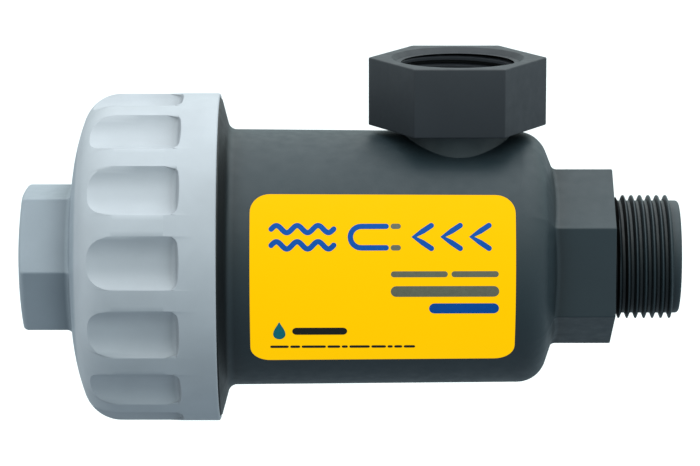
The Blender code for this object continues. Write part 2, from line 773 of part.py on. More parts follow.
# ---- Strainer cartridge ----------------------------------------------------------------------
def make_strainer(axis, materials):
    """The mesh between its foot and collar. Its pores are too fine to be cut here."""
    mesh = turned(tube(MESH_R - MESH_WALL, MESH_R, *MESH_ENDS), SMALL_STEPS)
    make_object("strainer_mesh", mesh, axis, materials["stainless"])

    foot_back, foot_front = HUB_GROOVE[0] + GAP, HUB_GROOVE[1] - GAP
    foot = turned(
        [
            (HUB_GROOVE_R + GAP, foot_back),
            (HUB_GROOVE_R + GAP, foot_front),
            (HUB_R + FOOT_CLEARANCE, foot_front),
            (HUB_R + FOOT_CLEARANCE, MESH_ENDS[0] - GAP),
            (SLEEVE_R[0], MESH_ENDS[0] - GAP),
            (SLEEVE_R[0], FOOT_SLEEVE_END),
            (GUIDE_R, FOOT_SLEEVE_END),
            (GUIDE_R, FOOT_SLEEVE_END - GUIDE_THICK),
            (SLEEVE_R[1], FOOT_SLEEVE_END - GUIDE_THICK),
            (SLEEVE_R[1], foot_back + EDGE),
            (SLEEVE_R[1] - EDGE, foot_back),
            (HUB_GROOVE_R + GAP, foot_back),
        ],
        MEDIUM_STEPS,
    )
    make_object("strainer_foot", foot, axis, materials["strainer_plastic"])

    plate = MESH_ENDS[1] + GAP
    plate_end = plate + COLLAR_PLATE
    collar = turned(
        [
            (COLLAR_BORE_R, plate),
            (SLEEVE_R[0], plate),
            (SLEEVE_R[0], plate - SLEEVE_LEN),
            (SLEEVE_R[1], plate - SLEEVE_LEN),
            (SLEEVE_R[1], plate_end - EDGE),
            (SLEEVE_R[1] - EDGE, plate_end),
            (COLLAR_SPIGOT_R, plate_end),
            (COLLAR_SPIGOT_R, COLLAR_GROOVE[0]),
            (COLLAR_GROOVE_R, COLLAR_GROOVE[0]),
            (COLLAR_GROOVE_R, COLLAR_GROOVE[1]),
            (COLLAR_SPIGOT_R, COLLAR_GROOVE[1]),
            (COLLAR_SPIGOT_R, COLLAR_END - EDGE),
            (COLLAR_SPIGOT_R - EDGE, COLLAR_END),
            (COLLAR_BORE_R, COLLAR_END),
            (COLLAR_BORE_R, plate),
        ],
        MEDIUM_STEPS,
    )
    make_object("strainer_collar", collar, axis, materials["strainer_plastic"])

    centre_z = (COLLAR_GROOVE[0] + COLLAR_GROOVE[1]) / 2
    section_r = (SOCKET_R - COLLAR_GROOVE_R - 2 * GAP) / 2
    centre_r = (SOCKET_R + COLLAR_GROOVE_R) / 2
    seal = ring(centre_r, centre_z, section_r, SMALL_STEPS, 6)
    make_object("strainer_o_ring", seal, axis, materials["rubber"])


# ---- Assembly --------------------------------------------------------------------------------
def main():
    clear_scene()
    materials = make_materials()
    along_body = (0.0, math.radians(90.0), 0.0)
    union_axis = make_axis("union_axis", (0.0, 0.0, 0.0), (0.0, 0.0, 0.0))
    nut_axis = make_axis("union_nut_axis", (0.0, 0.0, 0.0), (0.0, 0.0, 0.0))
    body_axis = make_axis("body_axis", (0.0, 0.0, -AXIS_DROP), along_body)
    cartridge_axis = make_axis("cartridge_axis", (0.0, 0.0, -AXIS_DROP), along_body)
    cap_axis = make_axis("cap_axis", (0.0, 0.0, 0.0), (0.0, 0.0, 0.0), cartridge_axis)

    make_housing(body_axis, union_axis, materials)
    make_label(body_axis, materials)
    make_cap_o_ring(body_axis, materials)
    make_union(union_axis, materials)
    make_union_nut(nut_axis, materials)
    make_strainer(cartridge_axis, materials)
    make_cap(cap_axis, materials)
    make_magnet_bar(cap_axis, materials)


main()
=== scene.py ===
"""Looks of the magnetic boiler filter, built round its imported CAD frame.

Lengths in this file are millimetres in the row frame, unless a name ends in _M; pieces are
turned into metres when their mesh is made. Round pieces are built in columns: one line of
(radius, height) points at each angle round an axis.

About the body axis, height is world X, and the angle runs from 0 at the underside through 90 at
the back and 180 at the top to 270 at the front, where the label is. About the union axis, height
is world Z, and the angle runs from +X towards +Y.
"""

import json
import math

import bmesh
import bpy
from mathutils import Matrix, Vector


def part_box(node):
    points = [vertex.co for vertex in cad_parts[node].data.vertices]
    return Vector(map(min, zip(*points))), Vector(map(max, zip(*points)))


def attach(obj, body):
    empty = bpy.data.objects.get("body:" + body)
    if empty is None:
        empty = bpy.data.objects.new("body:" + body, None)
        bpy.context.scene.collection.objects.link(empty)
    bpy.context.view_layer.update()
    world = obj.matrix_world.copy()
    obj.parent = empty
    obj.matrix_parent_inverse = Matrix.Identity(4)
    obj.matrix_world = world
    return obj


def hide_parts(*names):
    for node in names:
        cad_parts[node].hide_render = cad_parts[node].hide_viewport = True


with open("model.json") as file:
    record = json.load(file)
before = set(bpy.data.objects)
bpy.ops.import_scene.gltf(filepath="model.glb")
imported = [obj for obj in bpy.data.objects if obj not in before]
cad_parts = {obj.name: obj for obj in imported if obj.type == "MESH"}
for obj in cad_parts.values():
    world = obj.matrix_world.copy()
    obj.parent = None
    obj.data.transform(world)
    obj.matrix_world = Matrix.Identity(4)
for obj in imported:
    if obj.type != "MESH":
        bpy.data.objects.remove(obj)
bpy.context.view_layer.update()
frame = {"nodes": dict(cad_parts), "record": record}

MM = 0.001
FULL_TURN = 2.0 * math.pi
WELD_M = 2e-7  # vertices nearer than this are one vertex
CUT_WELD_M = 2e-6  # the same, where one piece has been cut by another
HEX_CORNERS_DEG = [60.0 * corner for corner in range(6)]
FRONT_DEG = 270.0  # the angle about the body axis that faces the camera


# ---- Places read from the frame --------------------------------------------------------------
def mount_mm(name):
    """A mount's position in millimetres."""
    for mount in frame["record"]["mounts"]:
        if mount["name"] == name:
            return Vector(mount["pos_m"]) / MM


def box_mm(node):
    low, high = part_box(node)
    return Vector(low) / MM, Vector(high) / MM


AXIS_Z = mount_mm("return_port").z
MALE_END = box_mm("housing")[1].x
SPIGOT_END = box_mm("housing")[0].x
BOSS_END = box_mm("cap")[0].x
CAP_RIM = box_mm("cap")[1].x
NUT_BOTTOM = box_mm("union_nut")[0].z
NUT_TOP = box_mm("union_nut")[1].z
GASKET_BOTTOM = box_mm("union_gasket")[0].z
LABEL_LEFT = box_mm("label")[0].x
LABEL_RIGHT = box_mm("label")[1].x
MESH_LEFT = box_mm("strainer_mesh")[0].x
MESH_RIGHT = box_mm("strainer_mesh")[1].x
TUBE_LEFT = box_mm("magnet_tube")[0].x
TUBE_RIGHT = box_mm("magnet_tube")[1].x

# ---- Shape of the moulded pieces -------------------------------------------------------------
# The threads' major and minor are radii.
G34 = {"major": 13.22, "depth": 1.16, "pitch": 1.814}
G34_CREST_AT_TOP = 39.33  # height of one crest of the male thread, on the top line
CAP_THREAD = {"minor": 29.4, "depth": 1.6, "pitch": 4.0, "crest": -60.0}
CAP_THREAD_R = CAP_THREAD["minor"] + 0.4  # with the play between the two threads
CAP_THREAD_MOUTH = CAP_RIM - 2.2

BARREL_LEFT_R = 27.42
BARREL_RIGHT_R = 26.85
FLANGE_R = 33.9
FLANGE_FACE = -51.6
FLANGE_EDGE = -50.3
FLANGE_FOOT = -48.56
SHOULDER_CORNER = 17.32
SHOULDER_STEEPNESS = 0.3895  # rise along the axis for each millimetre of radius lost
SHOULDER_ROUND = 6.2
PORT_HEX_FLATS = 33.15
PORT_HEX_ROUND = 0.35
PORT_HEX_RIGHT = 33.2
PORT_ROOT_ROUND = 1.3
PORT_ROOT_SWAY = 0.45  # 1 if one cone met all of its flats, 0 if its root were straight
PILOT_START = 46.0
BODY_BORE_R = 24.0
OUTLET_R = 9.0
SPIGOT_R = 28.9
SEAL_GROOVE = {"r": 26.6, "left": -65.4, "right": -62.6}  # the cap's O-ring
SOCKET = {"r": 11.8, "left": 16.6, "right": 27.0}  # the strainer collar's
NECK_R = 11.4
NECK_BORE_R = 8.75
NECK_TOP = GASKET_BOTTOM - 0.3
NECK_SPREAD = 1.2  # how much its foot spreads at the front and the back
NECK_FILLET = 0.35
NUT_FLATS = 32.85
NUT_HEX_ROUND = 0.4
NUT_MOUTH_R = 14.15
NUT_THREAD_CREST = 1.285

CAP_BAND_R = 35.11
CAP_RIDGE_R = 35.0
CAP_SHOULDER = -71.8
CAP_SHOULDER_ROUND = 8.0
CAP_DOME_ROUND = 48.0
CAP_DOME_FLAT_R = 13.2
SCALLOPS = 14
SCALLOP_FIRST_DEG = 9.67
SCALLOP_HALF_DEG = 9.05
SCALLOP_DEPTH = 2.3
SCALLOP_FULLNESS = 2.7  # 2 would make its section one arc; more makes its sides steeper
SCALLOP_EDGE_R = 34.93
SCALLOP_RIGHT = -58.2
SCALLOP_WALL_BOW = 0.45  # how far the right wall bows in towards the scallop's sides
SCALLOP_WALL_CORNER = 1.1  # how much more it does so in the scallop's corners
SCALLOP_WALL_SLOPE = 0.35  # how far it runs along the axis for each millimetre of depth
BOSS_FLATS = 28.6
BOSS_HEX_ROUND = 0.5
BOSS_FIRST_CORNER_DEG = 30.0
BOSS_CROWN_ROUND = 100.0
BOSS_EDGE_ROUND = 1.15
BOSS_FOOT_ROUND = 1.2
BOSS_FOOT_REACH = 2.4
BOSS_ROOT = -80.5

LABEL_HALF_DEG = 40.3
LABEL_CORNER = 4.2
LABEL_LIFT = 0.01
LABEL_THICK = 0.13
PRINT_GAP = 0.004
PRINT_THICK = 0.02


# ---- Lines and columns -----------------------------------------------------------------------
FILLET_SHARE = 0.49  # how much of the shorter side next to it a fillet may take
STRAIGHT = math.radians(89.5)  # a corner with a wider half angle has no fillet


def even_columns(count):
    return [FULL_TURN * step / count for step in range(count + 1)]


def closed_columns(degrees):
    """Columns in order, each angle once; the last column is the first again."""
    ordered = sorted({round(value % 360.0, 4) for value in degrees})
    return [math.radians(value) for value in (*ordered, ordered[0] + 360.0)]


def columns_with_corners(count, offsets_deg):
    """Even columns, with more of them close to a hexagon's corners."""
    degrees = [360.0 * step / count for step in range(count)]
    degrees += [corner + offset for corner in HEX_CORNERS_DEG for offset in offsets_deg]
    return closed_columns(degrees)


def rounded(corners):
    """A line of points through corners (r, z) or (r, z, fillet radius, parts of the fillet)."""
    points = [Vector(corner[:2]) for corner in corners]
    line = [tuple(points[0])]
    for before, here, after, corner in zip(points, points[1:], points[2:], corners[1:]):
        radius, parts = corner[2:] or (0.0, 0)
        back, ahead = before - here, after - here
        room = FILLET_SHARE * min(back.length, ahead.length)
        back.normalize()
        ahead.normalize()
        half = math.acos(max(-1.0, min(1.0, back.dot(ahead)))) / 2.0
        if parts == 0 or half > STRAIGHT:
            line += [tuple(here)] * (parts + 1)
            continue
        reach = min(radius / math.tan(half), room)
        radius = reach * math.tan(half)
        centre = here + (back + ahead).normalized() * (radius / math.sin(half))
        start, end = here + back * reach - centre, here + ahead * reach - centre
        sweep = math.atan2(start.x * end.y - start.y * end.x, start.dot(end))
        for part in range(parts + 1):
            turn = Matrix.Rotation(sweep * part / parts, 2)
            line.append(tuple(centre + turn @ start))
    line.append(tuple(points[-1]))
    return line


# One turn of each thread form: (share of the pitch from the crest, share of the depth).
V_THREAD = ((-0.50, 0.0), (-0.37, 0.0), (-0.31, 0.07), (-0.10, 0.92), (-0.045, 1.0))
V_THREAD += ((0.045, 1.0), (0.10, 0.92), (0.31, 0.07), (0.37, 0.0))
TRAPEZOID = ((-0.50, 0.0), (-0.28, 0.0), (-0.26, 0.1), (-0.16, 0.93), (-0.14, 1.0))
TRAPEZOID += ((0.14, 1.0), (0.16, 0.93), (0.26, 0.1), (0.28, 0.0))
WIDE_TRAPEZOID = ((-0.50, 0.0), (-0.34, 0.0), (-0.32, 0.1), (-0.22, 0.93), (-0.20, 1.0))
WIDE_TRAPEZOID += ((0.20, 1.0), (0.22, 0.93), (0.32, 0.1), (0.34, 0.0))
FEMALE_THREAD = ((-0.50, 0.0), (-0.36, 0.0), (-0.33, 0.06), (-0.10, 0.92), (-0.06, 1.0))
FEMALE_THREAD += ((0.20, 1.0), (0.22, 0.93), (0.32, 0.1), (0.34, 0.0))


def thread_line(angle, form, thread, root_r, crest, ends, run_in):
    """Points (r, z) down one side of a right-handed thread, at one angle round its axis.

    crest is the height of one crest at angle 0. The thread lies between the heights in ends, and
    run_in is how far it takes to reach its full depth from each of them.
    """
    low, high = ends
    pitch, depth = thread["pitch"], thread["depth"]
    first = math.floor((low - crest) / pitch) - 2
    last = math.ceil((high - crest) / pitch) + 1
    points = []
    for turn in range(first, last + 1):
        for phase, height in form:
            z = crest + pitch * (turn + phase + angle / FULL_TURN)
            z = min(max(z, low), high)
            fade = min(1.0, (z - low) / run_in[0], (high - z) / run_in[1])
            points.append((root_r + depth * height * max(fade, 0.0), z))
    return points


def hexagon_radius(angle, flats, corner_round, first_corner=0.0):
    """Polar radius of a hexagon with rounded corners."""
    sixth = math.radians(60.0)
    off = abs((angle - first_corner + sixth / 2) % sixth - sixth / 2)
    sharp = flats / 2.0 / math.cos(sixth / 2)
    centre = sharp - corner_round / math.cos(sixth / 2)
    if centre * math.sin(off) < corner_round / 2.0 * math.cos(off) and off < sixth / 4:
        return centre * math.cos(off) + math.sqrt(corner_round**2 - (centre * math.sin(off)) ** 2)
    return flats / 2.0 / math.cos(sixth / 2 - off)


def on_body_axis(r, angle, z):
    """A place in millimetres, from its radius, angle and height about the body axis."""
    return Vector((z, r * math.sin(angle), AXIS_Z - r * math.cos(angle)))


def on_union_axis(r, angle, z):
    return Vector((r * math.cos(angle), r * math.sin(angle), z))


def columns_mesh(columns, line_at, place):
    """A bmesh in millimetres through one line of points at each angle."""
    bm = bmesh.new()
    lines = [[bm.verts.new(place(r, angle, z)) for r, z in line_at(angle)] for angle in columns]
    for line, following in zip(lines, lines[1:]):
        for step in range(len(line) - 1):
            bm.faces.new((line[step], following[step], following[step + 1], line[step + 1]))
    return bm


# ---- Objects ---------------------------------------------------------------------------------
def add_object(name, bm, sharp_deg=32.0):
    """Closes a bmesh made in millimetres, and turns it into an object in metres."""
    bmesh.ops.scale(bm, vec=(MM, MM, MM), verts=bm.verts)
    bmesh.ops.remove_doubles(bm, verts=bm.verts, dist=WELD_M)
    bmesh.ops.recalc_face_normals(bm, faces=bm.faces)
    mesh = bpy.data.meshes.new(name)
    bm.to_mesh(mesh)
    bm.free()
    mesh.shade_smooth()
    mesh.set_sharp_from_angle(angle=math.radians(sharp_deg))
    piece = bpy.data.objects.new(name, mesh)
    bpy.context.scene.collection.objects.link(piece)
    return piece


def finish_piece(piece, body, slot, *nodes, look=None):
    """Gives a piece its place in the frame and its slot's material, or another look."""
    piece.data.materials.clear()
    piece.data.materials.append(MATERIALS[look or slot])
    if nodes:
        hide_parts(*nodes)
    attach(piece, body)
    return piece


def apply_booleans(piece, steps, sharp_deg=32.0):
    """Runs (tool object, operation) steps on a piece, keeps the result and removes the tools."""
    for tool, operation in steps:
        boolean = piece.modifiers.new(tool.name, "BOOLEAN")
        boolean.operation = operation
        boolean.object = tool
        boolean.solver = "EXACT"
    evaluated = piece.evaluated_get(bpy.context.evaluated_depsgraph_get())
    result = bpy.data.meshes.new_from_object(evaluated)
    piece.modifiers.clear()
    piece.data = result
    for tool, _ in steps:
        bpy.data.objects.remove(tool, do_unlink=True)
    bm = bmesh.new()
    bm.from_mesh(result)
    bmesh.ops.remove_doubles(bm, verts=bm.verts, dist=CUT_WELD_M)
    bmesh.ops.dissolve_degenerate(bm, dist=CUT_WELD_M, edges=bm.edges)
    bm.to_mesh(result)
    bm.free()
    result.shade_smooth()
    result.set_sharp_from_angle(angle=math.radians(sharp_deg))


def make_round_ring(name, ring_r, z, section_r, place, sweep_deg=(0.0, 360.0)):
    """An O-ring, or a wire ring with rounded ends if it doesn't close."""
    parts, sides, end_parts = 120, 16, 5
    start, end = (math.radians(value) for value in sweep_deg)
    columns = [start + (end - start) * part / parts for part in range(parts + 1)]
    sizes = [1.0] * len(columns)
    if sweep_deg[1] - sweep_deg[0] < 360.0:
        tip = section_r / ring_r
        turns = [math.pi / 2 * part / end_parts for part in range(end_parts + 1)]
        columns = [start - tip * math.cos(t) for t in turns] + columns[1:-1]
        columns += [end + tip * math.sin(t) for t in turns]
        sizes = [math.sin(t) for t in turns] + [1.0] * (parts - 1) + [math.cos(t) for t in turns]
    size_at = dict(zip(columns, sizes))

    def line_at(angle):
        size = section_r * size_at[angle]
        turns = [FULL_TURN * side / sides for side in range(sides + 1)]
        return [(ring_r + size * math.cos(t), z - size * math.sin(t)) for t in turns]

    return add_object(name, columns_mesh(columns, line_at, place))


def turned(name, corners, place=on_body_axis, count=96):
    """A turned piece from its outline's corners."""
    line = rounded(corners)
    return add_object(name, columns_mesh(even_columns(count), lambda angle: line, place))


# ---- Materials -------------------------------------------------------------------------------
MATERIALS = {}  # the finished materials, by the names that this file gives them


class Nodes:
    """Short calls for building a material's node tree."""

    def __init__(self, name):
        self.name = name
        self.material = bpy.data.materials.new(name)
        self.material.use_nodes = True
        self.tree = self.material.node_tree
        self.shader = self.tree.nodes["Principled BSDF"]
        self.place = self.add("ShaderNodeTexCoord").outputs["Object"]

    def add(self, kind, **values):
        node = self.tree.nodes.new(kind)
        for key, value in values.items():
            setattr(node, key, value)
        return node

    def link(self, start, end):
        self.tree.links.new(start, end)

    def noise(self, scale, detail=3.0, roughness=0.5, stretch=None):
        """Noise whose scale is in features per metre."""
        node = self.add("ShaderNodeTexNoise")
        node.inputs["Scale"].default_value = scale
        node.inputs["Detail"].default_value = detail
        node.inputs["Roughness"].default_value = roughness
        source = self.place
        if stretch:
            mapping = self.add("ShaderNodeMapping")
            mapping.inputs["Scale"].default_value = stretch
            self.link(source, mapping.inputs["Vector"])
            source = mapping.outputs["Vector"]
        self.link(source, node.inputs["Vector"])
        return node.outputs["Fac"]

    def between(self, factor, low, high, start=0.3, end=0.7):
        """A number that goes from low to high as factor goes from start to end."""
        node = self.add("ShaderNodeMapRange")
        node.inputs["From Min"].default_value = start
        node.inputs["From Max"].default_value = end
        node.inputs["To Min"].default_value = low
        node.inputs["To Max"].default_value = high
        self.link(factor, node.inputs["Value"])
        return node.outputs["Result"]

    def ramp(self, factor, *stops):
        node = self.add("ShaderNodeValToRGB")
        fill_ramp(node, stops)
        self.link(factor, node.inputs["Fac"])
        return node.outputs["Color"]

    def mix(self, factor, first, second):
        """A mix of two colours, each a tuple or a socket."""
        node = self.add("ShaderNodeMix", data_type="RGBA")
        factor_socket, first_socket, second_socket = (node.inputs[number] for number in (0, 6, 7))
        self.link(factor, factor_socket)
        for colour, socket in ((first, first_socket), (second, second_socket)):
            if isinstance(colour, tuple):
                socket.default_value = (*colour, 1.0)
            else:
                self.link(colour, socket)
        return node.outputs[2]

    def painted_corner_shade(self, reach, darkest, shut, clear):
        """Painted shade from ambient occlusion: 1 on open skin, falling to darkest in the grooves
        and corners of the piece itself.

        shut and clear are the shares of open space at which it is darkest and 1.
        """
        node = self.add("ShaderNodeAmbientOcclusion", samples=12, only_local=True)
        node.inputs["Distance"].default_value = reach * MM
        return self.between(node.outputs["AO"], darkest, 1.0, shut, clear)

    def along_axis(self, start, end, low, fade):
        """A factor for painted shade: low between two places on the body axis, and 1 beyond them.
        """
        split = self.add("ShaderNodeSeparateXYZ")
        self.link(self.place, split.inputs["Vector"])
        x = split.outputs["X"]
        start, end, fade = start * MM, end * MM, fade * MM
        either = self.add("ShaderNodeMath", operation="MAXIMUM")
        self.link(self.between(x, 1.0, low, start - fade, start), either.inputs[0])
        self.link(self.between(x, low, 1.0, end - fade, end + fade), either.inputs[1])
        return either.outputs["Value"]

    def bump(self, height, distance, strength, below=None):
        node = self.add("ShaderNodeBump")
        node.inputs["Distance"].default_value = distance * MM
        node.inputs["Strength"].default_value = strength
        self.link(height, node.inputs["Height"])
        if below:
            self.link(below, node.inputs["Normal"])
        return node.outputs["Normal"]

    def finish(self, colour, roughness=None, normal=None, **constants):
        """Wires the material and keeps it; constants are named like sockets, with _ for spaces."""
        for value, socket in ((colour, "Base Color"), (roughness, "Roughness"), (normal, "Normal")):
            if value:
                self.link(value, self.shader.inputs[socket])
        for socket, value in constants.items():
            self.shader.inputs[socket.replace("_", " ")].default_value = value
        MATERIALS[self.name] = self.material


def fill_ramp(node, stops):
    """Gives a colour ramp its stops (position, colour)."""
    elements = node.color_ramp.elements
    while len(elements) < len(stops):
        elements.new(0.5)
    for element, (position, colour) in zip(elements, stops):
        element.position = position
        element.color = (*colour, 1.0)


def scaled(colour, factor):
    return tuple(channel * factor for channel in colour)


def moulded_plastic(
    name, colour, roughness, speckle, groove_shade=None, painted_shade_span=None, painted_shade_colour=(0.0, 0.0, 0.0)
):
    """Glass-filled moulding: soft cloudiness, short-fibre speckle and a fine eroded skin.

    groove_shade holds what Nodes.painted_corner_shade takes, for painted shade in its
    grooves and corners. painted_shade_span holds what Nodes.along_axis takes, for a length of it
    that is painted with shade, mixed with the colour painted_shade_colour.
    """
    n = Nodes(name)
    clouds = n.noise(70.0, 4.0)
    speckles = n.noise(3200.0, 2.0, 0.6)
    body = n.ramp(clouds, (0.30, scaled(colour, 0.93)), (0.70, scaled(colour, 1.07)))
    light = n.between(speckles, 0.0, speckle, 0.62, 0.80)
    body = n.mix(light, body, scaled(colour, 2.2))
    if groove_shade:
        # Painted shade: darker in its grooves and corners.
        body = n.mix(n.painted_corner_shade(**groove_shade), (0.0, 0.0, 0.0), body)
    if painted_shade_span:
        # Painted shade along one length of the body axis.
        body = n.mix(n.along_axis(**painted_shade_span), painted_shade_colour, body)
    skin = n.noise(5200.0, 2.0)
    flow = n.noise(160.0, 3.0)
    normal = n.bump(skin, 0.02, 0.35)
    normal = n.bump(flow, 0.2, 0.10, normal)
    rough = n.between(n.noise(420.0, 5.0), roughness - 0.05, roughness + 0.06)
    n.finish(body, rough, normal)


def vinyl(name, colour, roughness):
    n = Nodes(name)
    body = n.ramp(n.noise(90.0, 3.0), (0.3, scaled(colour, 0.97)), (0.7, scaled(colour, 1.02)))
    normal = n.bump(n.noise(900.0, 3.0), 0.02, 0.25)
    rough = n.between(n.noise(300.0, 4.0), roughness - 0.04, roughness + 0.05)
    # Painted light: the label glows, so it looks evenly lit though it is no lamp.
    painted_glow = {"Emission_Color": (1.0, 0.59, 0.0, 1.0), "Emission_Strength": 0.91}
    n.finish(body, rough, normal, Specular_IOR_Level=0.04, **painted_glow)


def ink(name, colour):
    n = Nodes(name)
    body = n.ramp(n.noise(1500.0, 2.0), (0.3, scaled(colour, 0.92)), (0.7, scaled(colour, 1.06)))
    rough = n.between(n.noise(600.0, 3.0), 0.50, 0.60)
    n.finish(body, rough, Specular_IOR_Level=0.15)


def turned_metal(name, colour, roughness, stretch):
    """Metal with fine tool marks; stretch squeezes the noise across the marks."""
    n = Nodes(name)
    marks = n.noise(260.0, 6.0, 0.65, stretch)
    body = n.ramp(marks, (0.3, scaled(colour, 0.85)), (0.7, scaled(colour, 1.10)))
    rough = n.between(n.noise(180.0, 4.0), roughness - 0.06, roughness + 0.10)
    normal = n.bump(marks, 0.03, 0.3)
    n.finish(body, rough, normal, Metallic=1.0)


def rubber(name):
    n = Nodes(name)
    body = n.ramp(n.noise(400.0, 4.0), (0.3, (0.012, 0.012, 0.013)), (0.7, (0.028, 0.028, 0.03)))
    normal = n.bump(n.noise(2600.0, 3.0), 0.03, 0.4)
    rough = n.between(n.noise(700.0, 3.0), 0.62, 0.80)
    n.finish(body, rough, normal)


ACROSS_X = (14.0, 1.0, 1.0)
EVENLY = (1.0, 1.0, 1.0)
moulded_plastic(
    "body_plastic",
    (0.0198, 0.033, 0.0405),
    roughness=0.46,
    speckle=0.25,
    # Painted shade in the housing's thread roots, corners and at the neck's foot.
    groove_shade={"reach": 6.0, "darkest": 0.0, "shut": 0.35, "clear": 0.95},
    # Painted shade: the flange's face, in the corner by the cap's rim, darkened to a tenth.
    painted_shade_span={"start": FLANGE_FACE, "end": FLANGE_FOOT, "low": 0.1, "fade": 0.6},
)
moulded_plastic(
    "nut_plastic",
    (0.0210, 0.0245, 0.0305),
    roughness=0.50,
    speckle=0.20,
    # Painted shade: a long reach darkens the nut's bore and thread towards black.
    groove_shade={"reach": 30.0, "darkest": 0.0, "shut": 0.12, "clear": 0.40},
)
moulded_plastic(
    "cap_plastic",
    (0.470, 0.490, 0.528),
    roughness=0.42,
    speckle=0.06,
    # Painted shade in the scallops, on their walls and at the boss's root.
    groove_shade={"reach": 8.0, "darkest": 0.25, "shut": 0.35, "clear": 0.95},
    # Painted shade: the boss is mixed with 30 per cent of a dark blue-grey.
    painted_shade_span={"start": BOSS_END - 1.0, "end": BOSS_ROOT, "low": 0.70, "fade": 0.3},
    painted_shade_colour=(0.0, 0.08, 0.14),
)
vinyl("label_vinyl", (0.22, 0.094, 0.0), 0.6)
ink("ink_blue", (0.001, 0.092, 0.42))
ink("ink_grey", (0.17, 0.17, 0.12))
ink("ink_dark", (0.02, 0.022, 0.018))
ink("ink_teal", (0.01, 0.22, 0.26))
rubber("seal_rubber")
turned_metal("stainless", (0.60, 0.59, 0.57), 0.28, ACROSS_X)
turned_metal("brass", (0.70, 0.48, 0.19), 0.30, ACROSS_X)
turned_metal("magnet_nickel", (0.55, 0.54, 0.52), 0.20, EVENLY)
turned_metal("pole_steel", (0.36, 0.35, 0.34), 0.38, ACROSS_X)
moulded_plastic("strainer_plastic", (0.62, 0.63, 0.61), roughness=0.48, speckle=0.03)


# ---- Housing ---------------------------------------------------------------------------------
def barrel_radius(x):
    """The tapered barrel's radius at a place along the body axis."""
    share = (x - FLANGE_FOOT) / (SHOULDER_CORNER - FLANGE_FOOT)
    return BARREL_LEFT_R + (BARREL_RIGHT_R - BARREL_LEFT_R) * share


def housing_line(angle):
    """The housing's closed outline at one angle about the body axis, but for the neck."""
    hex_r = hexagon_radius(angle, PORT_HEX_FLATS, PORT_HEX_ROUND)
    corner_r = hexagon_radius(0.0, PORT_HEX_FLATS, PORT_HEX_ROUND)
    foot_r = corner_r + (hex_r - corner_r) * PORT_ROOT_SWAY
    foot = SHOULDER_CORNER + (BARREL_RIGHT_R - foot_r) * SHOULDER_STEEPNESS
    core_r = G34["major"] - G34["depth"]
    minor = CAP_THREAD["minor"]
    bore_start = (BODY_BORE_R, SPIGOT_END + 8.0)
    spigot = rounded(
        [
            bore_start,
            (BODY_BORE_R, SPIGOT_END, 0.4, 2),
            (SPIGOT_R, SPIGOT_END, 0.4, 3),
            (SPIGOT_R, SEAL_GROOVE["left"], 0.15, 1),
            (SEAL_GROOVE["r"], SEAL_GROOVE["left"], 0.25, 2),
            (SEAL_GROOVE["r"], SEAL_GROOVE["right"], 0.25, 2),
            (SPIGOT_R, SEAL_GROOVE["right"], 0.15, 1),
            (SPIGOT_R, -61.9),
            (minor, -61.5),
        ]
    )
    spigot_ends = (-61.2, -52.8)
    cap_thread = thread_line(
        angle, TRAPEZOID, CAP_THREAD, minor, CAP_THREAD["crest"], spigot_ends, (1.4, 1.4)
    )
    outside = rounded(
        [
            (minor, -52.5),
            (minor, FLANGE_FACE, 0.3, 2),
            (FLANGE_R, FLANGE_FACE, 0.25, 2),
            (FLANGE_R, FLANGE_EDGE, 0.12, 2),
            (BARREL_LEFT_R, FLANGE_FOOT, 1.9, 8),
            *[(BARREL_LEFT_R - 0.14 * row, FLANGE_FOOT + 16.0 * row) for row in (1, 2, 3)],
            (BARREL_RIGHT_R, SHOULDER_CORNER, SHOULDER_ROUND, 12),
            (hex_r, foot, PORT_ROOT_ROUND, 7),
            (hex_r, PORT_HEX_RIGHT, 0.3, 3),
            (core_r, PORT_HEX_RIGHT, 0.15, 1),
            (core_r, PORT_HEX_RIGHT + 0.3),
        ]
    )
    port_ends = (PORT_HEX_RIGHT + 0.35, PILOT_START)
    port_crest = G34_CREST_AT_TOP - G34["pitch"] / 2
    male_thread = thread_line(angle, V_THREAD, G34, core_r, port_crest, port_ends, (0.7, 0.25))
    inside = rounded(
        [
            (core_r, PILOT_START + 0.05),
            (core_r, MALE_END, 0.7, 4),
            (OUTLET_R, MALE_END, 0.3, 2),
            (OUTLET_R, SOCKET["right"], 0.2, 1),
            (SOCKET["r"], SOCKET["right"], 0.2, 2),
            (SOCKET["r"], SOCKET["left"], 0.4, 2),
            (19.8, SOCKET["left"], 1.0, 2),
            (BODY_BORE_R, 12.6, 3.0, 4),
            bore_start,
        ]
    )
    return [*spigot, *cap_thread, *outside, *male_thread, *inside]


def barrel_top(r, angle):
    """Height of the barrel's skin at a place about the union axis."""
    x, y = r * math.cos(angle), r * math.sin(angle)
    return AXIS_Z + math.sqrt(barrel_radius(x) ** 2 - y**2)


def neck_line(angle):
    """The neck with its clip groove, flared onto the barrel and rooted in the barrel's wall."""
    foot = NECK_R + NECK_SPREAD * math.sin(angle) ** 4
    overlap = 1.6  # how far it spreads over the barrel, and how deep it is rooted
    flare = foot + overlap
    groove_low, groove_high = NUT_BOTTOM + 2.17, NUT_BOTTOM + 4.37
    groove_r = NECK_R - 1.0
    outside = rounded(
        [
            (0.0, NECK_TOP),
            (NECK_R, NECK_TOP, 0.3, 3),
            (NECK_R, groove_high, 0.1, 1),
            (groove_r, groove_high, 0.2, 2),
            (groove_r, groove_low, 0.2, 2),
            (NECK_R, groove_low, 0.1, 1),
            (NECK_R, NUT_BOTTOM),
            (foot, barrel_top(foot, angle), NECK_FILLET, 6),
            (flare, barrel_top(flare, angle) - 0.06),
        ]
    )
    root = [(r, barrel_top(r, angle) - overlap) for r in (flare, 11.0, 8.0, 5.0, 2.5, 0.0)]
    return [*outside, *root]


